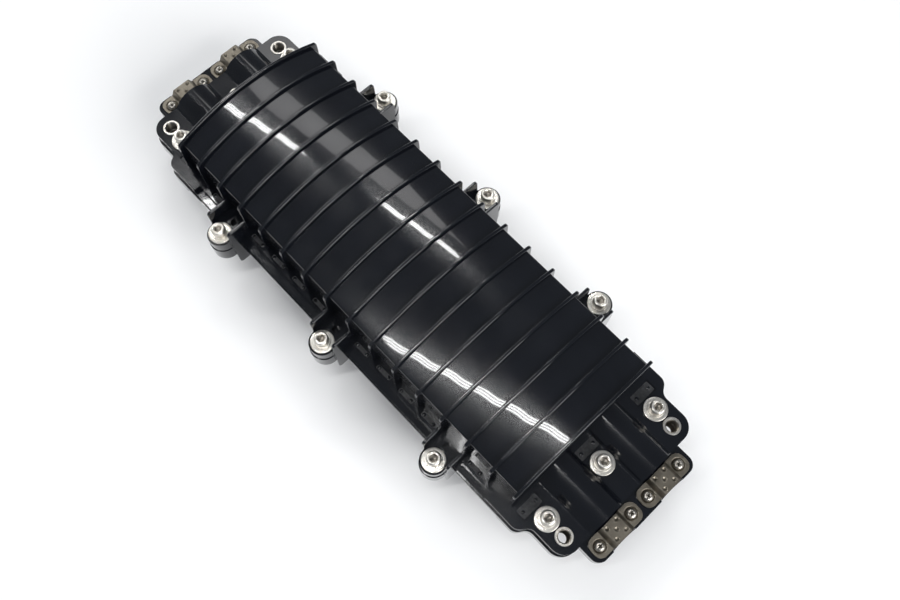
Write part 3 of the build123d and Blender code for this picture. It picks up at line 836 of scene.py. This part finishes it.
def thread_tree():
    """Node tree for the ridge of a screw thread, wound upwards from z = 0."""
    tree, entry, leave = open_tree("thread", {
        "Radius": "Float", "Pitch": "Float", "Length": "Float", "Depth": "Float",
        "Finish": "Material"}, "Ridge")
    join = tree.links.new
    turns = tree.nodes.new("ShaderNodeMath")
    turns.operation = "DIVIDE"
    join(entry.outputs["Length"], turns.inputs[0])
    join(entry.outputs["Pitch"], turns.inputs[1])
    path = tree.nodes.new("GeometryNodeCurveSpiral")
    path.inputs["Resolution"].default_value = 24
    join(turns.outputs["Value"], path.inputs["Rotations"])
    join(entry.outputs["Radius"], path.inputs["Start Radius"])
    join(entry.outputs["Radius"], path.inputs["End Radius"])
    join(entry.outputs["Length"], path.inputs["Height"])
    section = tree.nodes.new("GeometryNodeCurvePrimitiveCircle")
    section.inputs["Resolution"].default_value = 4
    join(entry.outputs["Depth"], section.inputs["Radius"])
    skin = tree.nodes.new("GeometryNodeCurveToMesh")
    skin.inputs["Fill Caps"].default_value = True
    join(path.outputs["Curve"], skin.inputs["Curve"])
    join(section.outputs["Curve"], skin.inputs["Profile Curve"])
    close_tree(tree, entry, leave, skin.outputs["Mesh"])
    return tree


THREAD = thread_tree()


def thread(name, radius, pitch, length, depth, material):
    """One thread's ridge as a mesh."""
    mesh = grown(name, bpy.data.meshes.new(name + "_none"), THREAD,
                 {"Radius": radius, "Pitch": pitch, "Length": length, "Depth": depth,
                  "Finish": material})
    shape = bmesh.new()
    shape.from_mesh(mesh)
    bmesh.ops.recalc_face_normals(shape, faces=shape.faces)
    smooth_by_angle(shape, WIRE_EDGE)
    shape.to_mesh(mesh)
    shape.free()
    return mesh


zinc_steel = grained(
    "zinc_steel", {"Metallic": 1.0},
    tints=[(0.3, (0.52, 0.52, 0.50)), (0.7, (0.66, 0.66, 0.63))], tint_grain=(150.0, 4.0),
    roughness=(0.28, 0.46), roughness_grain=(600.0, 4.0),
    depth=0.012 * MM, depth_grain=(1400.0, 3.0))
dress(zinc_steel, "tray_studs", "wing_nuts")
stud_thread = thread("stud_thread", STUD_R, STUD_PITCH, STUD_THREAD, STUD_DEPTH, zinc_steel)
set_out("stud_threads", stud_thread,
        [(x, 0.0, STUD_TOP - STUD_THREAD - STUD_PLAIN) for x in (-STUD_X, STUD_X)],
        zinc_steel, "lower_half")

# Cover bolts
# Twelve M6 stainless cap screws with knurled heads and hexagon sockets, each on a split lock washer
# and a wide flat washer. They hold the halves together round the flange.
LUG_Y = 78.1 * MM
END_BOLT_X = 186.5 * MM
CORNER_BOLT_Y = 51.5 * MM
FLAT_WASHER_R = 8.3 * MM
FLAT_WASHER_T = 1.6 * MM
FLAT_WASHER_EDGE = 0.35 * MM
LOCK_WASHER_R = 5.9 * MM
LOCK_WASHER_T = 1.5 * MM
LOCK_WASHER_EDGE = 0.15 * MM
LOCK_WASHER_GAP = 0.24
LOCK_WASHER_RISE = 0.2 * MM
WASHER_BORE = 3.3 * MM
HEAD_SEAT = FLANGE_TOP + FLAT_WASHER_T + LOCK_WASHER_T
HEAD_R = 5.0 * MM
HEAD_H = 6.0 * MM
SHANK_R = 3.0 * MM
SHANK_LEN = 20.0 * MM
SHANK_POINT = 0.7 * MM
BOLT_THREAD = 14.0 * MM
BOLT_PITCH = 1.0 * MM
BOLT_PLAIN = 1.0 * MM
RIDGE_SUNK = 0.1 * MM
RIDGE_DEPTH = 0.32 * MM
SOCKET_HALF = 2.5 * MM
SOCKET_DEPTH = 3.2 * MM
SOCKET_SHADE = 0.85
SOCKET_SHADED_R = 3.0 * MM
SOCKET_SHADED_Z = HEAD_H - 1.0 * MM
KNURL_TEETH = 32
KNURL_DEPTH = 0.14 * MM


def knurled(turn):
    """Outline of the head's fine upright teeth."""
    return HEAD_R - KNURL_DEPTH * (0.5 - 0.5 * math.cos(KNURL_TEETH * turn))


def hexagon(turn):
    """Outline of the key socket."""
    sixth = math.pi / 3
    return SOCKET_HALF / math.cos((turn % sixth) - sixth / 2)


def socket_shade(reach, height):
    """How much painted shade a bolt gets at a place: only down in its key socket."""
    in_socket = reach < SOCKET_SHADED_R and 0.0 < height < SOCKET_SHADED_Z
    return SOCKET_SHADE if in_socket else 0.0


bolts = [(x, side * LUG_Y) for x in LUG_XS for side in (-1, 1)]
bolts += [(end * END_BOLT_X, y) for end in (-1, 1) for y in (-CORNER_BOLT_Y, 0.0, CORNER_BOLT_Y)]
shank = [(-SHANK_LEN, SHANK_R - SHANK_POINT), (-SHANK_LEN + SHANK_POINT, SHANK_R), (0.0, SHANK_R)]
knurled_side = [(0.0, HEAD_R - 0.35 * MM), (0.25 * MM, HEAD_R - 0.1 * MM), (0.3 * MM, knurled),
                (HEAD_H - 0.95 * MM, knurled)]
crown = [(HEAD_H - 0.85 * MM, HEAD_R - 0.12 * MM), (HEAD_H - 0.3 * MM, HEAD_R - 0.4 * MM),
         (HEAD_H, HEAD_R - 1.0 * MM)]
key_socket = [(HEAD_H, SOCKET_HALF + 0.55 * MM), (HEAD_H - 0.35 * MM, hexagon),
              (HEAD_H - SOCKET_DEPTH, hexagon),
              (HEAD_H - SOCKET_DEPTH - 0.1 * MM, SOCKET_HALF - 0.2 * MM),
              (HEAD_H - SOCKET_DEPTH - 0.9 * MM, 0.3 * MM)]
cap_screw = stacked("cap_screw", shank + knurled_side + crown + key_socket, deep=socket_shade)
set_out("cap_screws", cap_screw, [(x, y, HEAD_SEAT) for x, y in bolts], bright_steel,
        "upper_half", turn=ANY_TURN, seed=4, stands_for=("cover_bolts",))
bolt_thread = thread("bolt_thread", SHANK_R - RIDGE_SUNK, BOLT_PITCH, BOLT_THREAD, RIDGE_DEPTH,
                     bright_steel)
set_out("bolt_threads", bolt_thread, [(x, y, HEAD_SEAT - SHANK_LEN + BOLT_PLAIN) for x, y in bolts],
        bright_steel, "upper_half", turn=ANY_TURN, seed=4)
flat_washer = washer("flat_washer", FLAT_WASHER_R, WASHER_BORE, FLAT_WASHER_T, FLAT_WASHER_EDGE,
                     bright_steel)
set_out("flat_washers", flat_washer, [(x, y, FLANGE_TOP) for x, y in bolts], bright_steel,
        "upper_half", turn=ANY_TURN, seed=5)
lock_washer = washer("lock_washer", LOCK_WASHER_R, WASHER_BORE, LOCK_WASHER_T - LOCK_WASHER_RISE,
                     LOCK_WASHER_EDGE, bright_steel, gap=LOCK_WASHER_GAP, rise=LOCK_WASHER_RISE)
set_out("lock_washers", lock_washer, [(x, y, FLANGE_TOP + FLAT_WASHER_T) for x, y in bolts],
        bright_steel, "upper_half", turn=ANY_TURN, seed=6)

# Cable clamps
# Pressed straps of nickel-plated steel, arched over the cable, with five dents that bite it.
# The metal is dished round the two screws of each strap.
CLAMP_X = 221.7 * MM
STRAP_W = 14.4 * MM
STRAP_LEN = 42.6 * MM
STRAP_T = 1.5 * MM
STRAP_CORNER = 5.5 * MM
STRAP_ROUND = 0.28 * MM
STRAP_EDGE = math.radians(50.0)
ARCH_H = 4.4 * MM
ARCH_FOOT = 9.8 * MM
ARCH_TOP = 6.6 * MM
SCREW_HALF = 14.85 * MM
DENT_STEP = 4.4 * MM
DENT_R = 0.95 * MM
DENT_DEPTH = 0.8 * MM
DENT_SHADE = 0.75
DENT_SHADE_SPREAD = 1.2
LIP_SHARE = 0.10
LIP_AT = 1.8
LIP_SHARP = 4
DISH_R = 4.7 * MM
DISH_DEPTH = 0.55 * MM
DISH_INSET = 0.7 * MM
DISH_SLOPE = 0.9 * MM
DISH_SHADE = 0.8
MOST_SHADE = 0.85
ACROSS = 48
ALONG = 142

clamp_nickel = grained(
    "clamp_nickel", {"Metallic": 1.0},
    tints=[(0.3, (0.165, 0.147, 0.118)), (0.7, (0.235, 0.212, 0.174))],
    tint_grain=(120.0, 5.0, 0.6),
    roughness=(0.34, 0.48), roughness_grain=(420.0, 4.0),
    depth=0.008 * MM, depth_grain=(1500.0, 3.0))
# Painted shade: the dents and the screw dishes of the straps are darkened to this colour.
paint_recess_shade(clamp_nickel, (0.045, 0.038, 0.028))


def eased(value):
    """Smooth step from 0 to 1."""
    value = min(max(value, 0.0), 1.0)
    return value * value * (3 - 2 * value)


def strap_half_width(y):
    """Half of the strap's width at a place along it, with its round corners."""
    past_corner = abs(y) - (STRAP_LEN / 2 - STRAP_CORNER)
    if past_corner <= 0:
        return STRAP_W / 2
    return STRAP_W / 2 - STRAP_CORNER + math.sqrt(max(STRAP_CORNER ** 2 - past_corner ** 2, 0.0))


dents = [(0.0, 0.0)] + [(sx * DENT_STEP, sy * DENT_STEP) for sx in (-1, 1) for sy in (-1, 1)]


def strap_press(x, y):
    """How far the top is pressed down, and how much painted shade it gets there: dark in the dents
    and in the dishes round the screws.
    """
    press, painted_shade = 0.0, 0.0
    for dent_x, dent_y in dents:
        away = math.hypot(x - dent_x, y - dent_y) / DENT_R
        raised_lip = LIP_SHARE * math.exp(-(away - LIP_AT) ** 2 * LIP_SHARP)
        press += DENT_DEPTH * (math.exp(-away ** 2) - raised_lip)
        painted_shade += DENT_SHADE * math.exp(-(away * DENT_SHADE_SPREAD) ** 2)
    for side in (-1, 1):
        away = math.hypot(x, y - side * SCREW_HALF)
        dish = 1 - eased((away - DISH_R + DISH_INSET) / DISH_SLOPE)
        press += DISH_DEPTH * dish
        painted_shade += DISH_SHADE * dish
    return press, min(painted_shade, MOST_SHADE)


def strap(name, centre_x, centre_y):
    """One strap: pressed top, smooth underside and straight rim."""
    shape = bmesh.new()
    deep_note = shape.verts.layers.float.new("deep")
    tops, bottoms = [], []
    for j in range(ALONG + 1):
        y = STRAP_LEN * (j / ALONG - 0.5)
        half = strap_half_width(y)
        low = JOINT + ARCH_H * (1 - eased((abs(y) - ARCH_TOP) / (ARCH_FOOT - ARCH_TOP)))
        top_row, bottom_row = [], []
        for i in range(ACROSS + 1):
            x = half * (2 * i / ACROSS - 1)
            press, painted_shade = strap_press(x, y)
            top = shape.verts.new((centre_x + x, centre_y + y, low + STRAP_T - press))
            top[deep_note] = painted_shade
            top_row.append(top)
            bottom_row.append(shape.verts.new((centre_x + x, centre_y + y, low)))
        tops.append(top_row)
        bottoms.append(bottom_row)
    for j in range(ALONG):
        for i in range(ACROSS):
            shape.faces.new((tops[j][i], tops[j][i + 1], tops[j + 1][i + 1], tops[j + 1][i]))
            shape.faces.new((bottoms[j][i], bottoms[j + 1][i], bottoms[j + 1][i + 1],
                             bottoms[j][i + 1]))
        for i in (0, ACROSS):
            shape.faces.new((tops[j][i], tops[j + 1][i], bottoms[j + 1][i], bottoms[j][i]))
    for i in range(ACROSS):
        for j in (0, ALONG):
            shape.faces.new((tops[j][i], tops[j][i + 1], bottoms[j][i + 1], bottoms[j][i]))
    bmesh.ops.recalc_face_normals(shape, faces=shape.faces)
    return meshed(shape, name, STRAP_EDGE)


for number, (end, side) in enumerate(ports, start=1):
    mesh = strap(f"strap_{number}", end * CLAMP_X, side * PORT_Y)
    mesh.materials.append(clamp_nickel)
    piece = placed(f"strap_{number}", mesh)
    small_radius(piece, STRAP_ROUND, STRAP_EDGE)
    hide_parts(f"cable_clamp_{number}")
    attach(piece, "lower_half")

# Clamp screws
# Eight stainless pan head screws with cross recesses, two to a strap.
# They are driven down into the dishes of the straps, and their crosses are darkened with painted
# shade.
PAN_R = 3.6 * MM
PAN_H = 2.3 * MM
PAN_SHANK_R = 1.9 * MM
PAN_SHANK = 0.9 * MM
CROSS_LONG = 1.95 * MM
CROSS_HALF = 0.55 * MM
CROSS_FLOOR = 0.9 * MM
CROSS_NARROWED = 0.6
CROSS_SHADE = 0.9
CROSS_SHADED_R = 1.5 * MM
CROSS_SHADED_Z = 1.0 * MM

screw_steel = grained(
    "screw_steel", {"Metallic": 1.0},
    tints=[(0.3, (0.36, 0.34, 0.30)), (0.7, (0.52, 0.49, 0.44))], tint_grain=(260.0, 4.0),
    roughness=(0.24, 0.38), roughness_grain=(700.0, 3.0),
    depth=0.006 * MM, depth_grain=(1800.0, 2.0))
# Painted shade: the crosses of the screws are darkened to this colour.
paint_recess_shade(screw_steel, (0.05, 0.043, 0.034))


def cross(scale):
    """Outline of the driver's cross recess, at a share of its size at the top."""
    def outline(turn):
        c, s = abs(math.cos(turn)) + 1e-6, abs(math.sin(turn)) + 1e-6
        long, half = CROSS_LONG * scale, CROSS_HALF * scale
        return max(min(long / c, half / s), min(long / s, half / c))
    return outline


def cross_shade(reach, height):
    """How much painted shade a pan head screw gets at a place: only down in its cross."""
    in_cross = reach < CROSS_SHADED_R and 0.0 < height < CROSS_SHADED_Z
    return CROSS_SHADE if in_cross else 0.0


pan_screw = stacked("pan_screw", [
    (-PAN_SHANK, PAN_SHANK_R), (0.0, PAN_SHANK_R), (0.0, PAN_R - 0.25 * MM), (0.3 * MM, PAN_R),
    (0.9 * MM, PAN_R - 0.05 * MM), (1.5 * MM, PAN_R - 0.4 * MM), (1.95 * MM, PAN_R - 0.95 * MM),
    (PAN_H - 0.06 * MM, PAN_R - 1.5 * MM), (PAN_H, cross(1.0)),
    (CROSS_FLOOR, cross(CROSS_NARROWED)),
], deep=cross_shade)
screws = [(end * CLAMP_X, side * PORT_Y + way * SCREW_HALF, JOINT + STRAP_T - DISH_DEPTH)
          for end, side in ports for way in (-1, 1)]
set_out("clamp_screws", pan_screw, screws, screw_steel, "lower_half",
        turn=ANY_TURN, seed=12)
